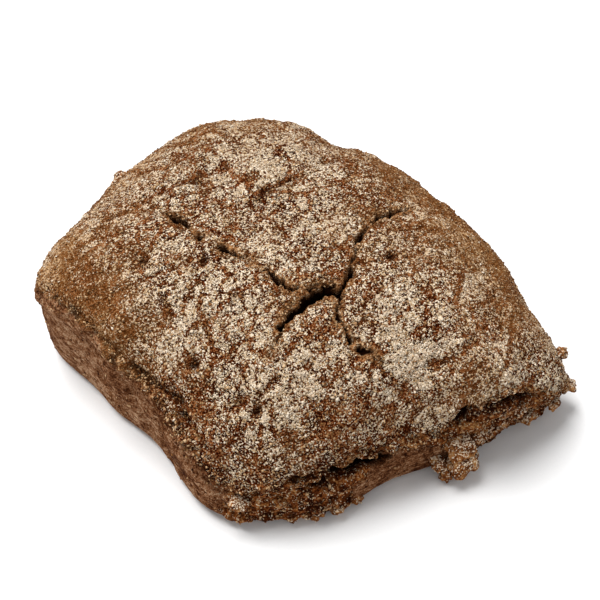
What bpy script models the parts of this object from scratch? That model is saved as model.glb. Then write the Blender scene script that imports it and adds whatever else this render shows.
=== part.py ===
"""Rye roll: a squarish bun of dark rye dough, baked free, torn across the top, as one closed solid.

The roll stands on Z = 0 with +Z up, and the middle of its base is at the origin. The script works
in Blender's metres; the named sizes are millimetres and bearings are degrees, counted from +X
towards +Y, so that -90 is the front. The crust is a dome over an uneven five-sided outline, and
below its edge a smoother wall goes down to the base. Tears, folds and lumps are relief in the
surface, and the crags that stick out at the foot are small bodies joined on by one union.
"""

from itertools import product

import bmesh
import bpy
import numpy as np

NAME = "rye_roll"
MM = 0.001

# Outline of the crust seen from above: straight stretches as (bearing they face, distance from the middle),
# joined by round corners, and then bulges and hollows as (bearing, spread in degrees, amount).
CRUST_SIDES = ((-92.0, 44.4), (5.5, 42.1), (44.0, 44.9), (120.5, 44.9), (201.0, 43.3))
CORNER_TIGHTNESS = 6.7
OUTLINE_BULGES = (
    (-158, 16, -3.4),
    (-60, 14, 1.3),
    (-41, 9, 4.9),
    (-20, 14, 2.3),
    (45, 18, -3.5),
    (78, 14, -4.4),
    (130, 14, 1.3),
    (178, 12, -2.7),
)

# How far the base stands out beyond the crust's outline.
BASE_LEAN = ((-168, 18, 0.9), (-128, 12, 1.6), (-102, 14, 3.1), (-72, 14, 0.9), (-50, 10, -2.0))

# Heights: the top, and the edge where the floured crust ends and the smooth wall begins.
TOP_HEIGHT = 37.0
EDGE_HEIGHT = 17.0
EDGE_RISES = ((-178, 22, 6.0), (-126, 14, -4.8), (-100, 14, -2.0), (-78, 12, -2.6), (-57, 10, 6.0), (-41, 12, -9.5))

# The edge also wanders up and down: (waves round the roll, turn in degrees, amount).
EDGE_WAVES = ((7, 20, 0.5), (12, 75, 0.4), (19, 140, 0.3))

# Dome: height = edge + rise * (1 - share ** FLATNESS) ** (1 / FALL), with share 0 at the middle and 1 at the edge.
DOME_FLATNESS = 2.3
DOME_FALL = 1.75
SHARPER_EDGES = ((-142, 26, -0.45),)

# Wall: a crease under the crust's edge, deeper where the crust hangs over, and a rounded foot.
CREASE_DEPTH = 0.4
DEEPER_CREASES = ((-91, 9, 2.9), (-64, 7, 3.2), (-54, 5, 1.6), (-142, 26, 1.0), (-176, 16, 0.7))
CREASE_PLACE = 0.16
CREASE_SPREAD = 0.11
WALL_LEAN_SHARE = 0.75
WALL_LEAN_POWER = 0.8
FOOT_RADIUS = 3.0

# Tears: points in plan as (x, y, half width, depth), along lines where the crust has opened.
TEARS = (
    (
        (-13.0, -25.6, 0.5, 0.8),
        (-10.4, -23.4, 0.5, 1.0),
        (-9.0, -21.8, 1.0, 3.0),
        (-5.4, -19.8, 0.9, 3.2),
        (-1.6, -18.6, 1.3, 4.6),
        (2.4, -18.0, 1.2, 5.0),
        (5.6, -18.2, 1.0, 5.0),
        (8.2, -16.8, 1.2, 5.0),
        (10.4, -13.4, 1.2, 4.6),
        (12.6, -10.8, 0.6, 1.6),
        (13.6, -9.2, 0.8, 2.6),
        (16.4, -7.2, 0.7, 1.6),
        (20.4, -5.0, 0.8, 2.0),
        (24.8, -4.4, 0.9, 2.4),
        (29.0, -3.0, 0.5, 0.8),
    ),
    (
        (4.0, -16.9, 0.7, 2.2),
        (0.4, -16.6, 0.7, 2.2),
        (-3.6, -15.4, 0.9, 2.4),
        (-5.6, -13.2, 1.0, 2.8),
        (-6.8, -9.6, 0.6, 1.2),
        (-9.4, -5.2, 0.5, 0.9),
        (-12.0, -1.4, 0.9, 1.8),
        (-13.6, 0.4, 0.5, 0.8),
    ),
    (
        (-16.6, 3.0, 0.8, 1.6),
        (-16.5, 6.2, 0.9, 2.0),
        (-17.2, 8.6, 0.5, 1.0),
        (-17.8, 10.8, 1.0, 2.2),
        (-19.6, 14.8, 0.6, 1.0),
    ),
    (
        (5.0, -18.6, 0.9, 3.6),
        (3.8, -21.0, 0.8, 2.0),
        (2.2, -23.6, 0.7, 1.6),
        (2.4, -28.2, 0.7, 1.8),
        (4.4, -31.4, 1.0, 2.4),
        (7.0, -34.0, 0.4, 0.6),
    ),
)
TEAR_FLANK = 3.4
TEAR_FLANK_SHARE = 0.26

# Folds: shallow wrinkles in the crust as (x, y) points in plan, all of one width and depth.
FOLDS = (
    ((-28.0, 20.6), (-20.0, 20.4), (-10.6, 20.6), (-2.0, 21.2), (6.0, 20.4)),
    ((7.0, 12.0), (3.5, 10.4), (0.5, 9.0), (-0.5, 6.5)),
    ((-25.6, -1.6), (-24.6, -5.4)),
    ((14.0, -38.4), (21.0, -38.8), (28.0, -37.2)),
    ((-23.0, -29.6), (-18.0, -31.0), (-13.0, -30.0)),
    ((-36.0, 1.0), (-27.0, -0.2), (-20.0, -0.5), (-15.0, -0.5)),
    ((-19.6, 15.6), (-24.5, 18.8), (-30.0, 22.4)),
    ((20.4, -3.8), (26.0, -9.6), (33.0, -12.0)),
)
FOLD_HALF_WIDTH = 1.0
FOLD_DEPTH = 0.7

# Pits: small holes in the crust as (x, y), all of one radius and depth.
PITS = ((-28.0, 4.7), (-26.5, -18.8), (-19.3, -32.8), (18.0, -15.3), (-10.1, 20.3), (17.8, 14.6))
PIT_RADIUS = 1.2
PIT_DEPTH = 1.1

# Creases that run up the left wall, as (bearing, height, bearing, height), all of one width and depth.
WALL_FOLDS = ((-176, 13.0, -166, 4.0), (-164, 15.0, -156, 6.0), (-152, 13.0, -146, 3.0), (-131, 11.0, -126, 4.0))
WALL_FOLD_HALF_WIDTH = 1.1
WALL_FOLD_DEPTH = 0.8

# Lumps: unevenness of the whole surface as (size of one lump, height, seed).
LUMPS = ((24.0, 0.9, 11), (9.0, 0.55, 12), (4.5, 0.3, 13))
WALL_CALM = 0.45

# Crags: what sticks out of the wall as (bearing, height, how far the middle stands out of the wall, across,
# along, up), the last three being half sizes outwards, along the wall and upwards.
CRAGS = (
    (-67.4, 8.0, 0.6, 3.0, 3.2, 2.6),
    (-68.2, 4.7, 2.3, 3.1, 3.4, 2.8),
    (-72.2, 2.5, 3.0, 1.5, 1.2, 2.0),
    (-72.9, 5.2, 1.0, 2.0, 1.4, 1.1),
    (-94.4, 2.2, -0.3, 1.3, 1.3, 1.5),
    (-99.6, 2.3, -0.3, 1.5, 1.4, 1.8),
    (-105.4, 1.9, -0.5, 1.6, 2.1, 1.3),
    (-110.8, 2.1, -0.5, 1.2, 1.0, 1.1),
    (-123.4, 8.2, 0.2, 1.7, 1.9, 1.5),
    (-61.6, 8.6, -0.2, 1.8, 2.6, 1.3),
    (-56.4, 7.6, -0.3, 1.6, 2.2, 1.4),
    (-53.6, 11.2, -0.2, 1.6, 2.2, 1.5),
    (-50.2, 4.6, 0.1, 1.5, 1.7, 1.4),
    (-45.8, 5.8, 0.2, 1.5, 1.8, 1.4),
    (-41.4, 6.2, 0.9, 2.0, 1.8, 1.6),
    (-39.4, 14.0, 0.1, 1.3, 1.0, 1.8),
    (119.4, 20.0, 0.6, 1.7, 2.2, 1.9),
)
CRAG_ROUGHNESS = 0.4
CRAG_KNOBS = 0.8
CRAG_SEED = 21
CRAG_FLOOR = 0.15

# Mesh: cuts along the edges of the cube that the crust is moulded from, and the share of triangles kept.
CUTS_ACROSS = 140
CUTS_UP = 26
KEPT_SHARE = 0.083

CRUST_BROWN = "8A6A4C"
CRUST_ROUGHNESS = 0.85


def linear_colour(hex_colour):
    """The linear RGBA of an sRGB hex colour."""
    parts = [int(hex_colour[at : at + 2], 16) / 255 for at in (0, 2, 4)]
    return [part / 12.92 if part <= 0.04045 else ((part + 0.055) / 1.055) ** 2.4 for part in parts] + [1.0]


def clear_scene():
    for obj in list(bpy.data.objects):
        bpy.data.objects.remove(obj, do_unlink=True)


def bell(bearing, middle, spread):
    """1 at the middle bearing, falling away as a bell curve, round the full circle."""
    away = (bearing - middle + 180) % 360 - 180
    return np.exp(-((away / spread) ** 2))


def bells(bearing, table):
    """The sum of the bells of a table of (bearing, spread, amount)."""
    return sum(amount * bell(bearing, middle, spread) for middle, spread, amount in table)


def crust_radius(bearing):
    """Distance from the middle to the crust's edge: a soft maximum of straight sides, plus the bulges."""
    total = 0.0
    for facing, distance in CRUST_SIDES:
        reach = np.maximum(0.0, np.cos(np.radians(bearing - facing))) / distance
        total = total + reach**CORNER_TIGHTNESS
    return total ** (-1 / CORNER_TIGHTNESS) + bells(bearing, OUTLINE_BULGES)


def edge_height(bearing):
    wander = sum(amount * np.sin(np.radians(waves * bearing + turn)) for waves, turn, amount in EDGE_WAVES)
    return EDGE_HEIGHT + bells(bearing, EDGE_RISES) + wander


def dome(share, bearing):
    """(radius, height) on the crust, share 0 at the middle to 1 at its edge."""
    fall = DOME_FALL + bells(bearing, SHARPER_EDGES)
    edge = edge_height(bearing)
    height = edge + (TOP_HEIGHT - edge) * (1 - share**DOME_FLATNESS) ** (1 / fall)
    return share * crust_radius(bearing), height


def wall(down, bearing):
    """(radius, height) on the wall, down 0 at the crust's edge to 1 at the base."""
    height = edge_height(bearing) * (1 - down)
    out = np.clip(down / WALL_LEAN_SHARE, 0, 1) ** WALL_LEAN_POWER * bells(bearing, BASE_LEAN)
    crease = CREASE_DEPTH + bells(bearing, DEEPER_CREASES)
    crease = crease * np.exp(-(((down - CREASE_PLACE) / CREASE_SPREAD) ** 2)) * np.minimum(down / CREASE_PLACE, 1)
    under = np.clip(1 - height / FOOT_RADIUS, 0, 1)
    foot = FOOT_RADIUS * (1 - np.sqrt(1 - under**2))
    return crust_radius(bearing) + out - crease - foot, height


def surface_radius(bearing, height):
    """Distance from the middle to the plain surface at this bearing and height."""
    edge = edge_height(bearing)
    if height <= edge:
        return wall(1 - height / edge, bearing)[0]
    fall = DOME_FALL + bells(bearing, SHARPER_EDGES)
    share = (1 - ((height - edge) / (TOP_HEIGHT - edge)) ** fall) ** (1 / DOME_FLATNESS)
    return share * crust_radius(bearing)


def gradient_noise(points, size, seed):
    """Smooth noise at points (n, 3), about -1 to 1, with lumps of about this size.

    Every corner of a lattice has a slope of its own, and a point blends the slopes of the eight
    corners round it.
    """
    draw = np.random.default_rng(seed)
    order = draw.permutation(256)
    slopes = draw.normal(size=(256, 3))
    slopes /= np.linalg.norm(slopes, axis=1, keepdims=True)
    cell = np.floor(points / size).astype(int)
    inside = points / size - cell
    fade = inside**3 * (inside * (inside * 6 - 15) + 10)
    total = np.zeros(len(points))
    for corner in product((0, 1), repeat=3):
        x, y, z = ((cell + corner) % 256).T
        pick = order[(order[(order[x] + y) % 256] + z) % 256]
        weight = np.prod(np.where(corner, fade, 1 - fade), axis=1)
        total += weight * np.sum(slopes[pick] * (inside - corner), axis=1)
    return 1.7 * total


def along_route(points, route):
    """For points (n, k) and a bent line of points (m, k): the distance to it, and the values that the line's
    further columns have at the nearest place."""
    route = np.array(route, float)
    flat = points.shape[1]
    start = route[:-1]
    run = np.diff(route, axis=0)
    offset = points[:, None, :] - start[:, :flat]
    share = np.sum(offset * run[:, :flat], axis=2) / np.sum(run[:, :flat] ** 2, axis=1)
    share = np.clip(share, 0, 1)[..., None]
    gap = np.linalg.norm(offset - share * run[:, :flat], axis=2)
    nearest = gap.argmin(axis=1)
    row = np.arange(len(points))
    return gap[row, nearest], (start + share * run)[row, nearest, flat:]


def tear_depth(plan):
    """How deep the tears cut at points in plan: steep walls, and flanks that slope down to them."""
    deepest = np.zeros(len(plan))
    for route in TEARS:
        gap, sizes = along_route(plan, route)
        half_width, depth = sizes.T
        cut = depth * np.exp(-((gap / half_width) ** 3))
        flank = TEAR_FLANK_SHARE * depth * np.exp(-((gap / TEAR_FLANK) ** 2))
        deepest = np.maximum(deepest, np.maximum(cut, flank) + 0.3 * np.minimum(cut, flank))
    return deepest


def crust_relief(points, on_wall):
    """Outward shift of each point (n, 3): lumps, less the tears, folds and pits."""
    plan = points[:, :2]
    shift = sum(height * gradient_noise(points, size, seed) for size, height, seed in LUMPS)
    shift = shift * np.where(on_wall, WALL_CALM, 1.0)
    on_top = ~on_wall
    cut = tear_depth(plan)
    for route in FOLDS:
        cut = np.maximum(cut, FOLD_DEPTH * np.exp(-((along_route(plan, route)[0] / FOLD_HALF_WIDTH) ** 2)))
    for place in PITS:
        cut = np.maximum(cut, PIT_DEPTH * np.exp(-((np.linalg.norm(plan - place, axis=1) / PIT_RADIUS) ** 2)))
    shift = shift - np.where(on_top, cut, 0.0)
    for first, high, last, low in WALL_FOLDS:
        ends = []
        for bearing, height in ((first, high), (last, low)):
            radius = surface_radius(bearing, height)
            turn = np.radians(bearing)
            ends.append((radius * np.cos(turn), radius * np.sin(turn), height))
        gap = along_route(points, ends)[0]
        shift = shift - WALL_FOLD_DEPTH * np.exp(-((gap / WALL_FOLD_HALF_WIDTH) ** 2))
    return shift


def cut_cube():
    """A two-unit cube whose faces are grids, as a bmesh."""
    bm = bmesh.new()
    bmesh.ops.create_cube(bm, size=2.0)
    level = [edge for edge in bm.edges if abs(edge.verts[0].co.z - edge.verts[1].co.z) < 1]
    bmesh.ops.subdivide_edges(bm, edges=level, cuts=CUTS_ACROSS, use_grid_fill=True)
    upright = [edge for edge in bm.edges if abs(edge.verts[0].co.z - edge.verts[1].co.z) > 1]
    bmesh.ops.subdivide_edges(bm, edges=upright, cuts=CUTS_UP, use_grid_fill=True)
    return bm


def moulded(cube):
    """Points of the plain roll for the cube's points (n, 3), and which of them are on the wall or the base.

    The cube's top becomes the dome, ring by ring, its sides become the wall and its bottom the base.
    """
    x, y, z = cube.T
    bearing = np.degrees(np.arctan2(y, x))
    ring = np.maximum(np.abs(x), np.abs(y))
    share = np.sin(ring * np.pi / 2)
    on_top = z > 1 - 1e-6
    radius, height = dome(share, bearing)
    wall_radius, wall_height = wall((1 - z) / 2, bearing)
    radius = np.where(on_top, radius, wall_radius * np.where(z < -1 + 1e-6, share, 1.0))
    height = np.where(on_top, height, wall_height)
    turn = np.radians(bearing)
    return np.stack([radius * np.cos(turn), radius * np.sin(turn), height], axis=1), ~on_top


def make_crust(collection, material):
    """The roll without its crags, thinned to where its triangles are needed."""
    bm = cut_cube()
    cube = np.array([vert.co for vert in bm.verts])
    points, on_wall = moulded(cube)
    for vert, point in zip(bm.verts, points):
        vert.co = point
    bm.normal_update()
    outward = np.array([vert.normal for vert in bm.verts])
    on_base = cube[:, 2] < -1 + 1e-6
    shift = np.where(on_base, 0.0, crust_relief(points, on_wall))
    rise = np.clip(points[:, 2] / FOOT_RADIUS, 0, 1)
    points = points + outward * (shift * rise)[:, None]
    points[on_base, 2] = 0.0
    for vert, point in zip(bm.verts, points * MM):
        vert.co = point
    bmesh.ops.triangulate(bm, faces=bm.faces)
    obj = new_object(NAME, bm, collection, material)
    thin = obj.modifiers.new("Thinning", "DECIMATE")
    thin.ratio = KEPT_SHARE
    apply_modifiers(obj)
    for vert in obj.data.vertices:
        if vert.co.z < 0.02 * MM:
            vert.co.z = 0.0
    return obj


def make_crags(collection, material):
    """The crags, each an uneven ball that is half in the wall."""
    for number, (bearing, height, proud, across, along, up) in enumerate(CRAGS):
        bm = bmesh.new()
        bmesh.ops.create_icosphere(bm, subdivisions=2, radius=1.0)
        distance = surface_radius(bearing, height) + proud
        turn = np.radians(bearing)
        out = np.array([np.cos(turn), np.sin(turn), 0.0])
        side = np.array([-np.sin(turn), np.cos(turn), 0.0])
        ball = np.array([vert.co for vert in bm.verts])
        ball *= 1 + CRAG_ROUGHNESS * gradient_noise(ball, CRAG_KNOBS, CRAG_SEED + number)[:, None]
        for vert, (x, y, z) in zip(bm.verts, ball):
            point = out * (distance + across * x) + side * along * y
            point[2] = max(height + up * z, CRAG_FLOOR)
            vert.co = point * MM
        new_object(f"crag_{number}", bm, collection, material)


def new_object(name, bm, collection, material):
    mesh = bpy.data.meshes.new(name)
    bm.to_mesh(mesh)
    bm.free()
    mesh.materials.append(material)
    obj = bpy.data.objects.new(name, mesh)
    collection.objects.link(obj)
    return obj


def apply_modifiers(obj):
    bpy.context.view_layer.update()
    evaluated = obj.evaluated_get(bpy.context.evaluated_depsgraph_get())
    plain, obj.data = obj.data, bpy.data.meshes.new_from_object(evaluated)
    obj.modifiers.clear()
    bpy.data.meshes.remove(plain)
    obj.data.name = obj.name


def join_crags(roll, crags):
    """One union of the roll with all its crags, which are then removed."""
    union = roll.modifiers.new("Crags", "BOOLEAN")
    union.operation = "UNION"
    union.operand_type = "COLLECTION"
    union.collection = crags
    union.solver = "EXACT"
    apply_modifiers(roll)
    for obj in list(crags.objects):
        bpy.data.objects.remove(obj, do_unlink=True)
    bpy.data.collections.remove(crags)


def centre_on_base(obj):
    """Moves the mesh so that the middle of its box is over the origin, and prints the move."""
    points = np.array([vert.co for vert in obj.data.vertices])
    middle = (points.min(axis=0) + points.max(axis=0)) / 2
    middle[2] = 0.0
    for vert, point in zip(obj.data.vertices, points - middle):
        vert.co = point
    print("box", np.round((points.max(axis=0) - points.min(axis=0)) / MM, 2), "moved by", np.round(-middle / MM, 2))


def crust_material():
    material = bpy.data.materials.new("rye_crust")
    material.use_nodes = True
    shader = material.node_tree.nodes["Principled BSDF"]
    shader.inputs["Base Color"].default_value = linear_colour(CRUST_BROWN)
    shader.inputs["Roughness"].default_value = CRUST_ROUGHNESS
    shader.inputs["Metallic"].default_value = 0.0
    material.diffuse_color = linear_colour(CRUST_BROWN)
    return material


def main():
    clear_scene()
    parts = bpy.data.collections.new("rye roll")
    crags = bpy.data.collections.new("crags to join")
    for collection in (parts, crags):
        bpy.context.scene.collection.children.link(collection)
    material = crust_material()
    roll = make_crust(parts, material)
    print("crust triangles", len(roll.data.polygons))
    make_crags(crags, material)
    join_crags(roll, crags)
    centre_on_base(roll)
    roll.data.shade_smooth()
    roll.data.set_sharp_from_angle(angle=np.radians(50))
    print("triangles in all", sum(len(face.vertices) - 2 for face in roll.data.polygons))


main()
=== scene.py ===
# %% [markdown]
# # A floured rye roll
# The roll is packed as one solid: dome, walls, tears and crags. This notebook dresses it. The solid
# is only there to be measured and collided with, so everything you see is made below, inside the
# same box and in the same frame, in metres with +Z up.

# %% The frame
from functools import partial
from itertools import product

import bpy
import numpy as np
from mathutils import Matrix, Vector


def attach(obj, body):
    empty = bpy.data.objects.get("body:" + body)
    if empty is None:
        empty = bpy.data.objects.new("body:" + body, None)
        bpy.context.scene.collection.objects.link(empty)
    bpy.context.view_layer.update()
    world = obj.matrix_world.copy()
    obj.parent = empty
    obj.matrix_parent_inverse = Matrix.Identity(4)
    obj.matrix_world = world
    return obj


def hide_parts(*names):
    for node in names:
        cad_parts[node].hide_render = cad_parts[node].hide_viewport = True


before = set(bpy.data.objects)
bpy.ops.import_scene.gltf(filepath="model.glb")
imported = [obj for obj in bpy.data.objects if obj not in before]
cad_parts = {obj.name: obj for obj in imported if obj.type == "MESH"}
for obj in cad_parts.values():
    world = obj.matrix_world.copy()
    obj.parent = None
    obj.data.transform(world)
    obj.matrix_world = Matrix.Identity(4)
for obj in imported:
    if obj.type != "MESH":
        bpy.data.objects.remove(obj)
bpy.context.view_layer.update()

MM = 0.001

# %% [markdown]
# ## The plain form
# A roll baked free has no exact outline, but it can still be described by a few numbers. Seen from
# above this one is a five-sided bun: five straight stretches joined by round corners, and a handful
# of soft bulges and hollows. A function of the bearing gives its radius, another gives the height
# at which the floured crust ends, and a third the dome over it. The numbers are the solid's own, in
# millimetres and degrees from +X, so the dressed roll keeps its form.

# %% Named sizes of the form
CRUST_SIDES = ((-92, 44.4), (5.5, 42.1), (44, 44.9), (120.5, 44.9), (201, 43.3))
CORNER_TIGHTNESS = 6.7
OUTLINE_BULGES = (
    (-158, 16, -3.4), (-60, 14, 1.3), (-41, 9, 4.9), (-20, 14, 2.3), (45, 18, -3.5), (78, 14, -4.4),
    (130, 14, 1.3), (178, 12, -2.7),
)
BASE_LEAN = ((-168, 18, 0.9), (-128, 12, 1.6), (-102, 14, 3.1), (-72, 14, 0.9), (-50, 10, -2.0))
TOP_HEIGHT = 37.0
EDGE_HEIGHT = 17.0
EDGE_RISES = ((-178, 22, 6.0), (-126, 14, -4.8), (-100, 14, -2.0), (-78, 12, -2.6), (-57, 10, 6.0), (-41, 12, -9.5))
EDGE_WAVES = ((7, 20, 0.5), (12, 75, 0.4), (19, 140, 0.3))
DOME_FLATNESS = 2.3
DOME_FALL = 1.75
SHARPER_EDGES = ((-142, 26, -0.45),)
CREASE_DEPTH = 0.4
DEEPER_CREASES = ((-91, 9, 2.9), (-64, 7, 3.2), (-54, 5, 1.6), (-142, 26, 1.0), (-176, 16, 0.7))
CREASE_PLACE = 0.16
CREASE_SPREAD = 0.11
WALL_LEAN_SHARE = 0.75
WALL_LEAN_POWER = 0.8
FOOT_RADIUS = 3.0
# From the outline's middle to the origin, which is under the middle of the solid's box.
TO_ORIGIN = np.array([-0.17, 1.80, 0.0])


# %% Outline, dome and wall
def hill(away, reach, power=2):
    """exp(-(distance / reach)^power): 1 at the middle, and steeper sides with a higher power."""
    return np.exp(-((away / reach) ** power))


def bells(bearing, table):
    """The sum of amount * hill over the rows (middle, reach, amount) of a table, with the angle from the middle
    taken the short way round."""
    return sum(amount * hill((bearing - middle + 180) % 360 - 180, reach) for middle, reach, amount in table)


def crust_radius(bearing):
    """(sum of (cos(bearing - facing) / distance)^k)^(-1/k) over the straight sides, plus the bulges."""
    total = 0.0
    for facing, distance in CRUST_SIDES:
        reach = np.maximum(0.0, np.cos(np.radians(bearing - facing))) / distance
        total = total + reach**CORNER_TIGHTNESS
    return total ** (-1 / CORNER_TIGHTNESS) + bells(bearing, OUTLINE_BULGES)


def edge_height(bearing):
    """The height where the crust ends: a constant, plus bells, plus three sine waves round the roll."""
    wander = sum(amount * np.sin(np.radians(waves * bearing + turn)) for waves, turn, amount in EDGE_WAVES)
    return EDGE_HEIGHT + bells(bearing, EDGE_RISES) + wander


def dome(share, bearing):
    """(radius, height): height = edge + rise * (1 - share^flatness)^(1 / fall), share 0 to 1 outwards."""
    fall = DOME_FALL + bells(bearing, SHARPER_EDGES)
    edge = edge_height(bearing)
    height = edge + (TOP_HEIGHT - edge) * (1 - share**DOME_FLATNESS) ** (1 / fall)
    return share * crust_radius(bearing), height


def wall(down, bearing):
    """(radius, height), down 0 at the crust's edge to 1 at the base: the crust's radius plus the lean, less a
    bell-shaped crease just under the edge and less a quarter-round foot."""
    height = edge_height(bearing) * (1 - down)
    out = np.clip(down / WALL_LEAN_SHARE, 0, 1) ** WALL_LEAN_POWER * bells(bearing, BASE_LEAN)
    crease = CREASE_DEPTH + bells(bearing, DEEPER_CREASES)
    crease = crease * hill(down - CREASE_PLACE, CREASE_SPREAD) * np.minimum(down / CREASE_PLACE, 1)
    under = np.clip(1 - height / FOOT_RADIUS, 0, 1)
    foot = FOOT_RADIUS * (1 - np.sqrt(1 - under**2))
    return crust_radius(bearing) + out - crease - foot, height


def surface_radius(bearing, height):
    """The radius at which the plain form has this height, from the wall or from the dome turned round."""
    edge = edge_height(bearing)
    if height <= edge:
        return wall(1 - height / edge, bearing)[0]
    fall = DOME_FALL + bells(bearing, SHARPER_EDGES)
    share = (1 - ((height - edge) / (TOP_HEIGHT - edge)) ** fall) ** (1 / DOME_FLATNESS)
    return share * crust_radius(bearing)


def in_space(radius, height, bearing):
    """(x, y, z) of places given by radius, height and bearing."""
    turn = np.radians(bearing)
    return np.stack(np.broadcast_arrays(radius * np.cos(turn), radius * np.sin(turn), height), axis=-1)


def on_surface(bearing, height):
    return in_space(surface_radius(bearing, height), height, bearing)


round_the_roll = np.arange(0, 360, 15.0)
print("radius every 15 degrees", np.round(crust_radius(round_the_roll), 1))
print("crust edge height      ", np.round(edge_height(round_the_roll), 1))

# %% [markdown]
# ## Noise in two kinds
# Bread is rough at every scale, and two kinds of noise cover it. Gradient noise rolls up and down,
# and makes lumps. Cell noise has a scatter of points and tells each place how far the nearest ones
# are: it makes clumps with creases between them, which is how dry flour sits on a crust that has
# stretched. Both are written for whole arrays of points, and both are seeded, so every run agrees.


# %% Gradient noise and cell noise
def lattice(points, size, seed):
    """(random generator, place of each point in its cell, the function that picks a number from 0 to 255 for the
    cell that is so many steps further on), from a shuffled order of 256."""
    draw = np.random.default_rng(seed)
    order = draw.permutation(256)
    cell = np.floor(points / size).astype(int)

    def pick(step):
        x, y, z = ((cell + step) % 256).T
        return order[(order[(order[x] + y) % 256] + z) % 256]

    return draw, points / size - cell, pick


def gradient_noise(points, size, seed):
    """At points (n, 3), about -1 to 1: each lattice corner has a random slope, and a point blends the slopes
    of the eight corners round it with the weight 6t^5 - 15t^4 + 10t^3 along each axis, times 1.7."""
    draw, inside, pick = lattice(points, size, seed)
    slopes = draw.normal(size=(256, 3))
    slopes /= np.linalg.norm(slopes, axis=1, keepdims=True)
    fade = inside**3 * (inside * (inside * 6 - 15) + 10)
    total = np.zeros(len(points))
    for corner in product((0, 1), repeat=3):
        weight = np.prod(np.where(corner, fade, 1 - fade), axis=1)
        total += weight * np.sum(slopes[pick(corner)] * (inside - corner), axis=1)
    return 1.7 * total


def cell_noise(points, size, seed):
    """At points (n, 3): (distance to the nearest scattered point, how much further the second one is, a value
    0 to 1 that the nearest one owns), both distances in cells of this size."""
    draw, inside, pick = lattice(points, size, seed)
    place = draw.random((256, 3))
    value = draw.random(256)
    first, second = np.full((2, len(points)), 9.0)
    owned = np.zeros(len(points))
    for corner in product((-1, 0, 1), repeat=3):
        owner = pick(corner)
        gap = np.linalg.norm(place[owner] + corner - inside, axis=1)
        nearer = gap < first
        second = np.where(nearer, first, np.minimum(second, gap))
        owned = np.where(nearer, value[owner], owned)
        first = np.where(nearer, gap, first)
    return first, second - first, owned


def octaves(points, table):
    """The sum of amount * gradient noise over the rows (size, amount, seed) of a table."""
    return sum(amount * gradient_noise(points, size, seed) for size, amount, seed in table)


def smooth_step(low, high, values):
    """0 below low, 1 above high, and 3t^2 - 2t^3 between."""
    share = np.clip((values - low) / (high - low), 0, 1)
    return share * share * (3 - 2 * share)


def blots(points, low, high, size, seed):
    """Blots with soft edges, 0 to 1: a smooth step over gradient noise. Tables hold low, high, size and seed."""
    return smooth_step(low, high, gradient_noise(points, size, seed))


def astray(points, table):
    """A wandering shift in plan: noise read at the points, and again far from them."""
    return np.stack([octaves(points, table), octaves(points + 50.0, table)], axis=-1)


# %% [markdown]
# ## Where the crust has opened
# In the oven the crust sets before the crumb has finished rising, so it tears along lines. Each tear
# is a bent line in plan with a half width and a depth at each of its points. Near the line the depth
# falls off steeply, and further out the torn plates dip towards it, which is what makes a tear look
# like a tear and not like a scratch. Round about there are shallow folds and pits, where the crust
# has only wrinkled, and along the left side they make the wrinkle under which the flour ends.

# %% Tears, folds and pits
# A tear's places are (x, y, half width, depth) in millimetres.
TEARS = (
    (
        (-13, -25.6, 0.5, 0.8), (-10.4, -23.4, 0.5, 1), (-9, -21.8, 0.8, 3), (-7, -20.7, 0.5, 2.4),
        (-5.2, -19.8, 0.9, 3.2), (-1.6, -18.6, 1.2, 4.8), (2.2, -18, 1, 5), (5.6, -18.2, 0.6, 4),
        (8.2, -16.8, 0.9, 5), (10.2, -13.6, 0.6, 2.8), (12.6, -10.8, 0.5, 1.2), (13.6, -9.2, 0.8, 2.6),
        (16.4, -7.2, 0.7, 1.6), (20.4, -5, 0.8, 2), (24.8, -4.4, 0.9, 2.4), (29, -3, 0.5, 0.8),
    ),
    (
        (4, -16.9, 0.7, 2.2), (0.4, -16.6, 0.7, 2.2), (-3.6, -15.4, 0.9, 2.4), (-5.6, -13.2, 1, 2.8),
        (-6.8, -9.6, 0.6, 1.2), (-9.4, -5.2, 0.5, 0.9), (-12.4, -1.4, 1, 3), (-13.6, 0.4, 0.5, 0.8),
    ),
    (
        (-16.2, 3, 0.6, 1), (-15.9, 4.4, 1.1, 3.6), (-16.4, 6.2, 0.6, 1.2), (-17.3, 9.4, 0.9, 3),
        (-18, 11.4, 1.1, 3.4), (-19.6, 14.8, 0.6, 1),
    ),
    (
        (5, -18.6, 0.9, 3.6), (3.8, -21, 0.8, 2), (2.2, -23.6, 0.7, 1.6), (2.4, -28.2, 0.7, 1.8),
        (4.4, -31.4, 1, 2.4), (7, -34, 0.4, 0.6),
    ),
)
TEAR_FLANK = 3.4
TEAR_FLANK_SHARE = 0.26
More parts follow.
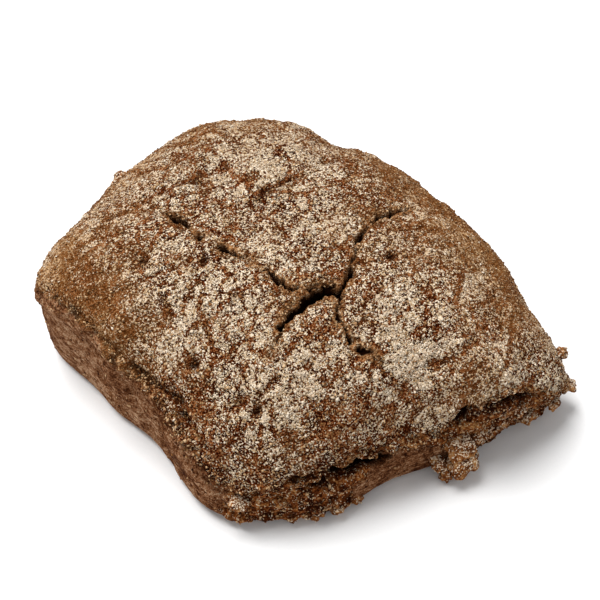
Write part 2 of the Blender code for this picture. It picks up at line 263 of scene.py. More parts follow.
# A fold is (half width, depth, share of the wandering, places), and a wall fold (bearing, height, bearing, height).
FOLDS = (
    (1, 0.6, 1, ((-28, 20.6), (-20, 20.4), (-14.2, 21.3))),
    (1.4, 1, 1, ((-14.2, 21.3), (-9, 21.8), (-2.9, 22))),
    (1.4, 1, 1, ((8.8, 12.6), (5.3, 11.9), (2.4, 10.3), (0, 9.1))),
    (1, 0.7, 1, ((0, 9.1), (-0.5, 6.5))),
    (1, 0.7, 1, ((-25.6, -1.6), (-24.6, -5.4))),
    (1, 0.7, 1, ((14, -38.4), (21, -38.8), (28, -37.2))),
    (1, 0.7, 1, ((-23, -29.6), (-18, -31), (-13, -30))),
    (1, 0.5, 1, ((-36, 1), (-27, -0.2), (-20, -0.5), (-15, -0.5))),
    (1, 0.5, 1, ((-19.6, 15.6), (-24.5, 18.8), (-30, 22.4))),
    (1, 0.5, 1, ((20.4, -3.8), (26, -9.6), (33, -12))),
    (0.8, 1.2, 0.3, ((-46.4, 9.6), (-45.4, 7.2), (-44.2, 4.6), (-43.4, 3))),
    (0.7, 1, 0.3, ((-42, -1.4), (-39.8, -6), (-38.4, -8.6))),
    (0.8, 1.2, 0.3, ((-36.8, -11.6), (-34.8, -16.2), (-33, -19.4), (-31.4, -22.8))),
    (0.8, 1.2, 0.3, ((-31.8, -24.8), (-31.2, -28.6), (-29.4, -32))),
)
PITS = ((-28, 4.7), (-17.2, -1.9), (-26.5, -18.8), (-19.3, -32.8), (18, -15.3), (-10.1, 20.3), (17.8, 14.6))
PIT_RADIUS = 1.2
PIT_DEPTH = 1.6
PIT_BENDS = ((2.2, 0.6, 67),)
WALL_FOLDS = ((-176, 13, -166, 4), (-164, 15, -156, 6), (-152, 13, -146, 3), (-131, 11, -126, 4))
WALL_FOLD_HALF_WIDTH = 1.1
WALL_FOLD_DEPTH = 0.8

print("points on the tears", sum(len(route) for route in TEARS))

# %% How a place lies to a tear, a fold or a cavity
TEAR_CLOSES = 0.74
TEAR_POWER = 1.5
TEAR_LEAST = 0.36
TEAR_LEANS = 0.12
TEAR_WANDERS = ((3.0, 0.50, 70), (1.5, 0.45, 71), (0.8, 0.18, 69))
TEAR_RAGGED = ((1.1, 0.26, 72), (0.6, 0.14, 68))
TEAR_BRIDGED = 0.8
BRIDGES = (-0.15, -0.5, 3.0, 81)
BRIDGED_DEPTHS = (2.4, 4.2)
RAW_PATCHES = ((3.4, 0.7, 82),)
RAW_REACH = (0.45, 0.12)
RAW_LEANS = (0.15, 0.07)
RAW_FROM = 2.2
FOLD_WANDERS = ((5.0, 1.1, 84), (2.2, 0.7, 67))
FOLD_BREAKS = ((6.0, 0.9, 85),)
AWAY_FROM_FRONT = np.array([0.41, 0.91])


def along_route(points, route):
    """The distance from points (n, k) to a bent line, the unit vector from the line to each point, and the line's
    further columns at the nearest place."""
    route = np.array(route, float)
    flat = points.shape[1]
    start = route[:-1]
    run = np.diff(route, axis=0)
    offset = points[:, None, :] - start[:, :flat]
    share = np.sum(offset * run[:, :flat], axis=2) / np.sum(run[:, :flat] ** 2, axis=1)
    share = np.clip(share, 0, 1)[..., None]
    reach = offset - share * run[:, :flat]
    gap = np.linalg.norm(reach, axis=2)
    nearest = gap.argmin(axis=1)
    row = np.arange(len(points))
    gap = gap[row, nearest]
    return gap, reach[row, nearest] / np.maximum(gap, 1e-6)[:, None], (start + share * run)[row, nearest, flat:]


def tears(points):
    """(cut, flank, rawness), each the largest over all tears. Noise moves the places sideways, so that the lines
    wander, a shallow tear is bridged in places, and a tear is wider on its far side: cut = depth * exp(-(gap / half
    width)^4), flank = share * depth * exp(-(gap / reach)^2), rawness 1 beside the tear to 0 on floured skin."""
    plan = points[:, :2] + astray(points, TEAR_WANDERS)
    cut, flank, raw = np.zeros((3, len(plan)))
    ragged = octaves(points, TEAR_RAGGED)
    bridge = TEAR_BRIDGED * blots(points, *BRIDGES)
    patchy = np.maximum(0.3, 1 + octaves(points, RAW_PATCHES))
    for route in TEARS:
        gap, towards, sizes = along_route(plan, route)
        half_width, depth = sizes.T
        lean = towards @ AWAY_FROM_FRONT
        width = np.maximum(TEAR_LEAST, TEAR_CLOSES * half_width**TEAR_POWER) * (1 + TEAR_LEANS * lean)
        torn_gap = np.maximum(gap + ragged, 0)
        bridged = bridge * (1 - smooth_step(*BRIDGED_DEPTHS, depth))
        cut = np.maximum(cut, depth * (1 - bridged) * hill(torn_gap, width, 4))
        flank = np.maximum(flank, TEAR_FLANK_SHARE * depth * hill(gap, TEAR_FLANK))
        near, further = (base + slope * depth for base, slope in (RAW_REACH, RAW_LEANS))
        reach = patchy * (near + further * np.maximum(lean, 0))
        raw = np.maximum(raw, smooth_step(1.9, 0.8, torn_gap / reach) * np.minimum(1, depth / RAW_FROM))
    return cut, flank, raw


def folds(points):
    """Depth of the shallow folds and pits: bell-shaped across, the largest of them at each place. Folds wander like
    tears and are deeper in some places than in others."""
    aside = astray(points, FOLD_WANDERS)
    uneven = np.clip(1 + octaves(points, FOLD_BREAKS), 0.6, 1.3)
    cuts = [
        uneven * depth * hill(along_route(points[:, :2] + loose * aside, route)[0], half_width)
        for half_width, depth, loose, route in FOLDS
    ]
    plan = points[:, :2] + octaves(points, PIT_BENDS)[:, None]
    cuts += [PIT_DEPTH * hill(np.linalg.norm(plan - place, axis=1), PIT_RADIUS) for place in PITS]
    return np.maximum.reduce(cuts)


def wall_folds(points):
    """Depth of the creases that run down the left wall, each between two places given by bearing and height."""
    ends = [(on_surface(first, high), on_surface(last, low)) for first, high, last, low in WALL_FOLDS]
    gaps = [along_route(points, route)[0] for route in ends]
    return WALL_FOLD_DEPTH * hill(np.minimum.reduce(gaps), WALL_FOLD_HALF_WIDTH)


print("tears", len(TEARS), "folds", len(FOLDS), "pits", len(PITS))

# %% [markdown]
# ## Under the lip
# At the front the crust overhangs torn crumb, and there are dark gaps between the two. A gap is a
# route like a tear, but it runs along the edge of the crust, so its places are given by bearing and
# by height over that edge. It is cut steeply, so that its upper side is a lip with a shadow under it
# and not a soft dent.

# %% Gaps under the lip
# A gap's places are (bearing, height over the crust's edge, half width, depth).
LIP_GAPS = (
    (
        (-113, 1, 0.3, 0.8), (-108, 0.6, 0.4, 1.2), (-104.5, 0, 0.6, 2), (-101.5, -1, 0.9, 3.4),
        (-98, -2.4, 1.3, 4.4), (-94.5, -3.3, 1.6, 5), (-91.6, -2.9, 2.1, 5), (-88.8, -3.8, 1.2, 4),
        (-86.2, -4.2, 0.6, 2), (-83.6, -4, 0.3, 0.9),
    ),
    (
        (-68.4, 0.5, 0.5, 1.6), (-67, 1.2, 1.1, 4.4), (-65.8, 1.4, 1.1, 4.4), (-64.6, 0.6, 0.7, 2.8),
        (-63, -1.6, 0.5, 2), (-61, -4.2, 0.5, 2), (-59.2, -4.8, 0.6, 2.2), (-57.4, -4.5, 0.9, 3.2),
        (-55.2, -4.1, 1.1, 3.8), (-53.2, -3.6, 0.8, 2.8), (-50.6, -2.6, 0.4, 1.6), (-46.5, -1.8, 0.4, 1.3),
        (-42.5, -1, 0.3, 0.9),
    ),
    ((-109, -2.4, 0.4, 1.2), (-105.6, -2.6, 0.7, 2), (-102.6, -3, 0.4, 1.2)),
    ((-126, -0.8, 0.3, 0.8), (-120, -1.2, 0.6, 1.6), (-114.6, -1.8, 0.3, 0.9)),
)
LIP_RAGGED = ((2.2, 0.42, 73), (1.0, 0.24, 74))


def lip_gaps(points):
    """Depth of the gaps, the largest at each place: depth * exp(-(gap / half width)^4) with a ragged gap."""
    cut = np.zeros(len(points))
    ragged = octaves(points, LIP_RAGGED)
    for route in LIP_GAPS:
        rows = [(*on_surface(bearing, edge_height(bearing) + above), *size) for bearing, above, *size in route]
        gap, _, sizes = along_route(points, rows)
        half_width, depth = sizes.T
        torn_gap = np.maximum(gap + ragged * np.minimum(1, half_width), 0)
        cut = np.maximum(cut, depth * hill(torn_gap, half_width, 4))
    return cut


print("gaps under the lip", len(LIP_GAPS), "deepest", max(row[3] for route in LIP_GAPS for row in route), "mm")

# %% [markdown]
# ## One closed grid
# The crust is a single closed surface. Its top is a square grid bent into a dome: each square ring
# of the grid becomes one ring of the dome, which puts even, four-sided faces everywhere and no pole
# at the top. The grid's rim then goes down the wall row by row and in along the base. A finer grid
# would pass the size that a mesh may have, so what is smaller than half a millimetre is left to
# loose grains and to the material.

# %% The grid of the crust
TOP_CUTS = 240
WALL_ROWS = 32
BASE_RINGS = (0.985, 0.94, 0.86, 0.76, 0.64, 0.5, 0.34, 0.17)
CENTRE_DENSER = 0.2


def even_shares(steps):
    """Shares 0 to 1 of the dome's radius. Along its curve, at a middling bearing, the points have even spaces that
    widen outwards as 1 - denser + 3 * denser * step^2, because the tears in the middle need the finest grid."""
    share = np.linspace(0, 1, 4000)
    radius, height = dome(share, 150.0)
    length = np.concatenate([[0], np.cumsum(np.hypot(np.diff(radius), np.diff(height)))])
    return np.interp((1 - CENTRE_DENSER) * steps + CENTRE_DENSER * steps**3, length / length[-1], share)


def crust_grid():
    """Points (n, 3), faces (m, 4) with a repeated last corner in triangles, and each point's zone: 0 on the dome,
    0 to 1 down the wall, 2 on the base."""
    side = np.linspace(-1, 1, TOP_CUTS + 1)
    u, v = np.meshgrid(side, side, indexing="ij")
    ring = np.maximum(np.abs(u), np.abs(v))
    bearing = np.degrees(np.arctan2(v, u))
    top = in_space(*dome(even_shares(ring), bearing), bearing).reshape(-1, 3)
    index = np.arange(len(top)).reshape(u.shape)
    top_faces = np.stack([index[:-1, :-1], index[1:, :-1], index[1:, 1:], index[:-1, 1:]], axis=-1).reshape(-1, 4)
    rim = np.concatenate([index[:-1, 0], index[-1, :-1], index[:0:-1, -1], index[0, :0:-1]])
    rim_bearing = bearing.reshape(-1)[rim]
    down = np.linspace(0, 1, WALL_ROWS + 1)[1:]
    wall_points = in_space(*wall(down[:, None], rim_bearing), rim_bearing)
    foot = wall(np.ones(1), rim_bearing)[0]
    base_points = in_space(np.array(BASE_RINGS)[:, None] * foot, 0.0, rim_bearing)
    points = np.concatenate([top, wall_points.reshape(-1, 3), base_points.reshape(-1, 3), np.zeros((1, 3))])
    rows = len(top) + np.arange((WALL_ROWS + len(BASE_RINGS)) * len(rim)).reshape(-1, len(rim))
    rows = np.concatenate([rim[None], rows])
    upper, lower = rows[:-1], rows[1:]
    skirt = np.stack([upper, lower, np.roll(lower, -1, 1), np.roll(upper, -1, 1)], axis=-1).reshape(-1, 4)
    last = rows[-1]
    centre = np.full(len(last), len(points) - 1)
    cap = np.stack([last, centre, np.roll(last, -1), np.roll(last, -1)], axis=-1)
    on_base = np.full(len(BASE_RINGS) * len(rim) + 1, 2.0)
    zone = np.concatenate([np.zeros(len(top)), np.repeat(down, len(rim)), on_base])
    return points, np.concatenate([top_faces, skirt, cap]), zone


def point_normals(points, faces):
    """Unit normals: at each point, the sum of the cross products of the diagonals of the faces round it."""
    across = np.cross(points[faces[:, 2]] - points[faces[:, 0]], points[faces[:, 3]] - points[faces[:, 1]])
    total = np.zeros_like(points)
    for corner in range(3):
        for axis in range(3):
            total[:, axis] += np.bincount(faces[:, corner], across[:, axis], len(points))
    length = np.linalg.norm(total, axis=1, keepdims=True)
    return total / np.maximum(length, 1e-9)


plain_points, crust_faces, zone = crust_grid()
plain_normals = point_normals(plain_points, crust_faces)
print("crust points", len(plain_points), "faces", len(crust_faces))

# %% [markdown]
# ## Relief
# Several scales of relief are pushed out along the surface: the broad lumps and tears that the solid
# has too, the meal that makes the whole crust pebbly, and the clumps in which the flour has set.
# Three of the walls are smoother, because they dried against the sheet, but the front one is torn
# crumb, which is rough and lies in ragged layers. The seam between crust and wall is crumbly all the
# way round. Everything fades out towards the foot, so that the roll still stands flat.

# %% Seam and torn front, as values 0 to 1
SEAM_REACH = 1.3
SEAM_RISES = ((166, 14, 3.2), (-168, 22, 1.8), (-137, 14, 2.0))
FRONT_FROM, FRONT_TO = (-134, -120), (-30, -42)
TORN_FROM, TORN_TO = -133.0, -31.0
TORN_FADE = 9.0
TORN_DOWN = 0.16
TORN_SIDES = ((5.0, 4.0, 75),)
TORN_TOP = ((3.0, 1.2, 76),)
TORN_FOOT = ((4.0, 0.12, 78),)
TORN_DEEPER = ((-114, 16, 1.1), (-100, 4, 0.2), (-56, 13, 0.95), (-40, 9, 0.5))


def bearing_of(points):
    return np.degrees(np.arctan2(points[:, 1], points[:, 0]))


def below_seam(points):
    """How far down a point is, in mm, from the line where the floured skin ends. On the left that line lies a
    little higher than the edge of the form."""
    bearing = bearing_of(points)
    return edge_height(bearing) + bells(bearing, SEAM_RISES) - points[:, 2]


def torn_front(points, zone):
    """1 on the wall between two bearings, from the lip down to a share of the wall that the bearing gives."""
    bearing = bearing_of(points) + octaves(points, TORN_SIDES)
    inside = smooth_step(TORN_FROM, TORN_FROM + TORN_FADE, bearing)
    inside = inside * smooth_step(TORN_TO, TORN_TO - TORN_FADE, bearing)
    above = points[:, 2] - edge_height(bearing_of(points)) + octaves(points, TORN_TOP)
    below = zone + octaves(points, TORN_FOOT) - TORN_DOWN - bells(bearing, TORN_DEEPER)
    return inside * smooth_step(1.6, 0.2, above) * smooth_step(0.08, -0.04, below) * (zone != 2)


outer = zone != 2
seam = hill(below_seam(plain_points), SEAM_REACH) * outer
torn = torn_front(plain_points, zone)
plain_bearing = bearing_of(plain_points)
front = smooth_step(*FRONT_FROM, plain_bearing) * smooth_step(*FRONT_TO, plain_bearing) * outer
print("points on the torn front", int((torn > 0.5).sum()))

# %% Push the grid out
LUMPS = ((24.0, 0.9, 11), (9.0, 0.55, 12), (4.5, 0.3, 13))
WALL_CALM = 0.45
MEAL_LUMPS = ((2.6, 0.22, 31), (1.2, 0.15, 32))
WALL_MEAL = 0.45
CLUMP_SIZE = 1.7
CLUMP_HEIGHT = 0.16
BOTH_DEEPER = 0.3
SEAM_CRUMBS = ((2.4, 0.80, 34), (1.2, 0.50, 36), (0.8, 0.20, 30))
TORN_CRUMBS = ((3.4, 0.85, 37), (1.7, 0.55, 38), (0.9, 0.20, 39))
TORN_LAYERS = 0.75
TORN_LAYER_SIZE = 2.6
TORN_LAYER_STRETCH = np.array([0.36, 0.36, 1.0])
RAW_CRUMBS = ((1.3, 0.34, 40), (0.7, 0.22, 66))
UNDER_DENTS = 0.35


def clumps(points):
    """0 in the creases to 1 on the clumps, and each clump's own value, from the cell noise."""
    _, gap, owned = cell_noise(points, CLUMP_SIZE, 33)
    return smooth_step(0.04, 0.42, gap), owned


cut, flank, raw = tears(plain_points)
on_top = zone == 0
cut, flank, raw = cut * on_top, flank * on_top, raw * on_top
crease = folds(plain_points) * on_top
hollow = lip_gaps(plain_points) * outer
clump, owned = clumps(plain_points)
lumps = octaves(plain_points, LUMPS) * np.where(on_top, 1.0, WALL_CALM)
meal = octaves(plain_points, MEAL_LUMPS) * np.where(on_top, 1.0, WALL_MEAL)
caked = CLUMP_HEIGHT * (clump - 0.6) * (0.4 + owned) * on_top * (1 - torn)
layers = TORN_LAYERS * gradient_noise(plain_points * TORN_LAYER_STRETCH, TORN_LAYER_SIZE, 77)
crumbly = seam * octaves(plain_points, SEAM_CRUMBS) + torn * (octaves(plain_points, TORN_CRUMBS) + layers)
crumbly = crumbly + raw * octaves(plain_points, RAW_CRUMBS)
opening = np.maximum(cut, flank) + BOTH_DEEPER * np.minimum(cut, flank)
shift = lumps + meal + caked + crumbly - np.maximum(opening, crease) - wall_folds(plain_points) - hollow
shift = shift * outer * np.clip(plain_points[:, 2] / FOOT_RADIUS, 0, 1)
crust_points = plain_points + plain_normals * shift[:, None]
dents = UNDER_DENTS * np.abs(gradient_noise(plain_points, 6.0, 35)) * ~outer
crust_points[:, 2] = np.maximum(crust_points[:, 2] + dents, 0.0)
print("relief from", shift.min().round(2), "to", shift.max().round(2), "mm")
print("top at", crust_points[:, 2].max().round(2), "mm")

# %% [markdown]
# ## Where the flour lies
# The dough was turned in flour before it rose. Flour stays thick where nothing touched the roll and
# is thin along the shoulders, where it was handled, and in a tear there is none, because that
# surface is newer. So flour is a value on every point of the mesh: broad patches, then noise, then
# brown veins between plates of crust, less the tears. The materials and the loose grains all read
# this one value. Three more values follow. The first says where the crust has baked dark, which is
# along the lip, and it also darkens the whole front wall, as painted shade on the side that faces
# away from the light. The second says where the flour has been rubbed in, which leaves an even
# golden brown. The third is painted shade where light hardly gets to: down in the tears and folds,
# under the lip, and in small blots along the crumbly seam and the torn front.

# %% Flour, bare crumb and wall as values on the points
FLOUR_EVENLY = 0.64
FLOUR_NOISE = ((10.0, 0.26, 41), (4.5, 0.24, 42), (2.0, 0.16, 44))
FLOUR_PATCHES = (
    (-20, -9, 9, 0.20), (-30, -6, 5, 0.34), (-8, -28, 9, 0.30), (11, -33, 7, 0.38), (-15, -35, 6.5, 0.40),
    (14, -41, 4, 0.20), (29, -46, 5, 0.35), (33, -40, 5, 0.20), (34, -23, 4.5, 0.45), (2, 9, 10, 0.12),
    (0, 25, 16, 0.10), (-41, 4, 10, -0.52), (-32, -27, 7, -0.40), (-37, -8, 5, -0.30), (-12, -45, 9, -0.46),
    (0, -42, 7, -0.26), (21, -44, 4, -0.24), (38, -34, 6, -0.24), (22, -6.5, 4.5, -0.34), (26, -16, 6.5, -0.32),
    (40, -2, 8, -0.44), (37, 16, 11, -0.30), (41, -26, 6, -0.40), (18, -14, 5, -0.16),
)
RUBBED_PATCHES = (
    (-44, -4, 13, 1), (43, -14, 10, 0.8), (41, 4, 14, 1), (33, 22, 13, 0.8), (40, -31, 9, 0.8),
    (31, -15, 8, 0.4), (15, -8, 8, 0.35), (21, -43, 5, 0.5), (10, 46, 16, 0.9), (-22, 44, 16, 0.9),
    (-44, 22, 13, 0.9),
)
RUBBED_NOISE = ((6.0, 0.3, 80),)
SKIN_END = ((2.4, 0.9, 43),)
PLATE_SIZE = 7.0
PLATE_BENDS = ((3.0, 1.4, 45),)
VEIN_SHARE = 0.95
VEINED = (-0.5, 0.1, 9.0, 47)
SEAM_BLOTS = (-0.3, 0.5, 2.6, 49)
DUSTED = (-0.1, 0.4, 3.0, 50)
SHADE_BLOTS = (0.22, 0.5, 1.7, 53)
BAKED_REACH = 5.5
BAKED_LIMIT = ((5.0, 2.2, 79),)
BAKED_BEARINGS = ((-92, 34, 0.9), (-150, 24, 0.75))
LEAST_ON_CLUMPS = 0.55
LESS_ON_BAKED = 0.6
LESS_IN_CREASES = 0.9
TORN_DUSTING = 0.4
SEAM_BARE = 0.6
RAW_BARE = 0.5
SEAM_CRUMBLED = 0.8
CREASE_SHADE = 0.7
SEAM_HOLLOW_SHADE = 0.8


def patches(points, table):
    """The sum of amount * exp(-(distance in plan / reach)^2) over the rows (x, y, reach, amount) of a table."""
    plan = points[:, :2]
    return sum(amount * np.exp(-np.sum((plan - (x, y)) ** 2, axis=1) / reach**2) for x, y, reach, amount in table)


def flour_cover(points):
    """0 bare to 1 thickly floured: an even share, round patches in plan, and noise of three sizes, less the veins
    between plates that a coarse cell noise gives."""
    cover = FLOUR_EVENLY + octaves(points, FLOUR_NOISE) + patches(points, FLOUR_PATCHES)
    _, gap, _ = cell_noise(points + octaves(points, PLATE_BENDS)[:, None], PLATE_SIZE, 46)
    vein = (1 - smooth_step(0.02, 0.15, gap)) * blots(points, *VEINED)
    return np.clip(cover, 0, 1) * (1 - VEIN_SHARE * vein)


def baked_dark(points):
    """1 at the lip to 0 some millimetres above it, where the bearing gives a share, with a ragged upper limit."""
    above = points[:, 2] - edge_height(bearing_of(points)) + octaves(points, BAKED_LIMIT)
    return smooth_step(BAKED_REACH, 0.0, above) * np.minimum(1, bells(bearing_of(points), BAKED_BEARINGS))


off_top = smooth_step(-0.4, 1.4, below_seam(plain_points) + octaves(plain_points, SKIN_END)) * outer
crumbled = smooth_step(0.45, 0.8, seam * (1 + 0.5 * gradient_noise(plain_points, 1.8, 48)))
skin = off_top * (1 - torn) * (1 - SEAM_CRUMBLED * crumbled)
bare = np.maximum(RAW_BARE * raw, SEAM_BARE * seam * blots(plain_points, *SEAM_BLOTS))
bare = np.maximum.reduce([bare, torn, smooth_step(0.3, 1.0, hollow)])
# the lip band is darker because it baked darker; the whole front wall below the floured skin gets the same value as
# painted shade, for the side that faces away from the light
bake_and_shade = np.maximum(baked_dark(plain_points), front * off_top) * outer
rubbed = np.clip(patches(plain_points, RUBBED_PATCHES) + octaves(plain_points, RUBBED_NOISE), 0, 1)
rubbed = np.maximum(rubbed, raw) * outer
flour = flour_cover(plain_points) * (LEAST_ON_CLUMPS + (1 - LEAST_ON_CLUMPS) * clump)
flour = flour * (1 - off_top) * (1 - np.maximum(bare, raw)) * (1 - LESS_ON_BAKED * bake_and_shade)
flour = flour * (1 - LESS_IN_CREASES * smooth_step(0.25, 0.6, crease))
dusting = blots(plain_points, *DUSTED) * (1 - smooth_step(0.1, 0.5, hollow))
flour = np.maximum(flour, TORN_DUSTING * torn * dusting * smooth_step(5.0, 1.0, below_seam(plain_points)))
# painted shade for the material: deep in tears, under the lip, in deep creases, and in blots along the seam and the
# torn front
seam_shade_blots = np.maximum(seam, 0.6 * torn) * blots(plain_points, *SHADE_BLOTS)
painted_shade = np.maximum(smooth_step(0.5, 1.6, cut), smooth_step(0.4, 1.2, hollow))
painted_shade = np.maximum.reduce([painted_shade, CREASE_SHADE * smooth_step(0.6, 1.1, crease), SEAM_HOLLOW_SHADE * seam_shade_blots])
under = (~outer).astype(float)
print("mean flour on top", flour[on_top].mean().round(3), "points deep in tears", int((painted_shade > 0.5).sum()))

# %% [markdown]
# ## Colours and nodes
# Bread has no bright colours, and a crust drawn from memory always comes out too orange. The hex
# values here are sRGB browns. A few small helpers are enough for all the materials: one turns hex
# into Blender's linear colour, one adds a node with its settings and links, and one adds up
# patterns with a weight for each.


# %% Helpers for materials
def colour(hex_colour):
    """Linear RGBA of an sRGB hex colour, by the sRGB curve."""
    parts = [int(hex_colour[at : at + 2], 16) / 255 for at in (1, 3, 5)]
    return [part / 12.92 if part <= 0.04045 else ((part + 0.055) / 1.055) ** 2.4 for part in parts] + [1.0]


def add_node(material, kind, inputs, out="", ramp=(), **settings):
    """Adds a node and gives back the output with this identifier, or else the first one in use. Settings are its
    own properties, and a ramp is a list of (place, hex colour). Inputs go by the socket's identifier, as plain
    values or as sockets that feed them."""
    node = material.node_tree.nodes.new("ShaderNode" + kind)
    for name, value in settings.items():
        setattr(node, name, value)
    for number, (at, hex_colour) in enumerate(ramp):
        stops = node.color_ramp.elements
        stop = stops[number] if number < 2 else stops.new(at)
        stop.position, stop.color = at, colour(hex_colour)
    for name, value in inputs.items():
        socket = next(socket for socket in node.inputs if socket.identifier == name)
        if isinstance(value, bpy.types.NodeSocket):
            material.node_tree.links.new(value, socket)
        else:
            socket.default_value = value
    return next(socket for socket in node.outputs if socket.identifier == out or (not out and socket.enabled))


def weighted_sum(add, start, terms):
    """start + weight * pattern for each (pattern, weight) of the terms."""
    for pattern, weight in terms:
        start = add("Math", {"Value": pattern, "Value_001": weight, "Value_002": start}, operation="MULTIPLY_ADD")
    return start


def per_mm(size):
    """The Scale of a pattern on object coordinates, in metres, whose features are this many millimetres apart."""
    return 1 / (size * MM)


def new_material(name):
    """A material, the function that adds a node to it, and its object coordinates."""
    material = bpy.data.materials.new(name)
    material.use_nodes = True
    add = partial(add_node, material)
    return material, add, add("TexCoord", {}, "Object")


def set_shader(material, base, roughness, specular, rise=None, height=0.0):
    """Sets the Principled shader: base colour, roughness, specular level, and bumps this many millimetres high."""
    inputs = material.node_tree.nodes["Principled BSDF"].inputs
    material.node_tree.links.new(base, inputs["Base Color"])
    inputs["Roughness"].default_value = roughness
    inputs["Specular IOR Level"].default_value = specular
    if rise is not None:
        bump = add_node(material, "Bump", {"Height": rise, "Strength": 1.0, "Distance": height * MM})
        material.node_tree.links.new(bump, inputs["Normal"])
    return material


print("flour in linear light", np.round(colour("#DCCCAE"), 3))

# %% [markdown]
# ## Floured rye crust
# The real surface is baked dough with whole-meal in it, dusted with rye flour that has caked into
# flecks. To the eye it is matt all over, pale on the flecks and dark between them, and the change
# from one to the other happens within half a millimetre. The mesh says how much flour a place has,
# and a fine noise decides which flecks show it, so that the edges of the flour are crisp. Thin veins
# run between the flecks where a second noise passes through its middle value. The browns follow the
# same noises as the bump and are darker where it is low, which is partly the crust's own tone and
# partly painted shade in its crevices, and right beside the flour they are darkened more, as a
# painted contact shadow. Bread barely shines, and a brown this dark would turn grey if it did, so
# the specular level is kept very low.

# %% Patterns and colours
PATCH_MM = 6.0
MEAL_MM = 1.2
FLECK_MM = 0.40
FLAKE_MM = 1.15
DUST_MM = 0.26
VEIN_MM = 1.6
PORE_MM = 1.3
DRAWN_MM = 2.4
DRAWN_OUT = (1.0, 1.0, 4.0)
VEIN_WIDTH = 0.035
RAW_GRAIN = 2.8
MOST_RUBBED = 0.85
MATT = 0.02
BROWNS = ((0.12, "#280800"), (0.34, "#602C0E"), (0.56, "#925C34"), (0.86, "#BC9068"))
FLOURS = ((0.2, "#A98963"), (0.5, "#CFB998"), (0.8, "#EEDFCA"))
GOLDENS = ((0.0, "#462406"), (0.42, "#724620"), (0.8, "#A67C50"), (1.0, "#B8946A"))
CRUMBS = ((0.10, "#280C02"), (0.38, "#5A2A0E"), (0.62, "#8E5428"), (0.90, "#C08E58"))
SKINS = ((0.18, "#44220F"), (0.42, "#72482C"), (0.62, "#8E6446"), (0.88, "#BC9878"))
SOLES = ((0.3, "#5E3A1F"), (0.55, "#8C6238"), (0.8, "#B99D76"))
CONTACT_SHADE = colour("#280A00")
PORE_SHADE = colour("#2E1206")
DEEP_SHADE = colour("#180702")


